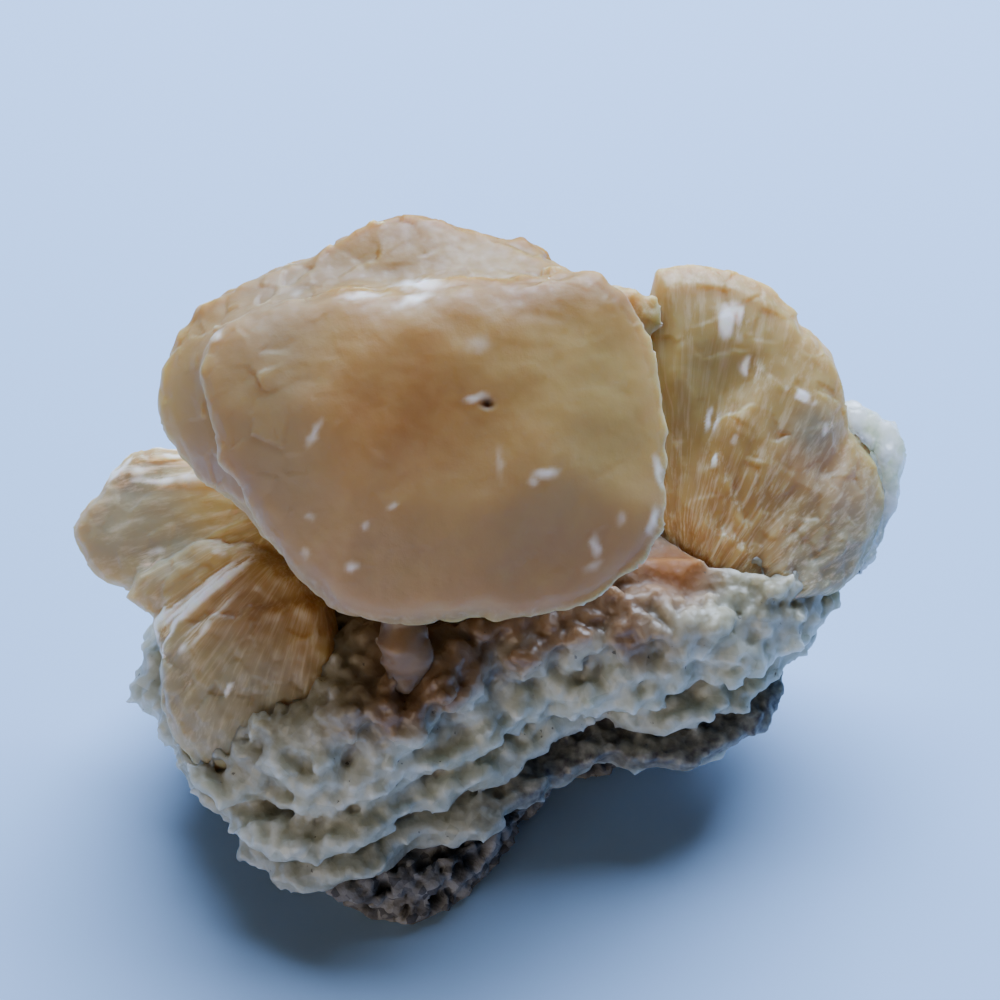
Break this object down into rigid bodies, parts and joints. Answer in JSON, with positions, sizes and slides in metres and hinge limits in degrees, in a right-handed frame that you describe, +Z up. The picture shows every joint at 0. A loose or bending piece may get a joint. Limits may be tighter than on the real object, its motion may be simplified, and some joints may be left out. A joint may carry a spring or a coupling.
{
  "type": "stilbite cluster",
  "caption": "Mineral specimen: thick translucent sheaves of peach stilbite on a ledged crust of small pale crystals, grown on a broken piece of dark basalt with a flat underside.",
  "frame": {"origin": "centre of the cluster's box in X and Y, on the basalt's flat underside", "axes": "+Z up; +X to the right when the big sheaf's end faces the viewer, along the cluster's longest side; the viewer is on the -Y side"},
  "size_m": [0.0872, 0.0516, 0.062],
  "materials": {
    "basalt": "broken, dull, pitted",
    "druse": "sugary crystals, pale grey-green",
    "stilbite": "translucent peach, waxy to pearly",
    "pale_zeolite": "translucent greenish white"
  },
  "bodies": {
    "root": {"matrix": "basalt", "druse_crust": "druse", "front_sheaf": "stilbite", "right_sheaf": "stilbite", "left_fan": "stilbite", "back_sheaf": "stilbite", "back_left_sheaf": "stilbite", "pale_crystal": "pale_zeolite"}
  },
  "joints": []
}
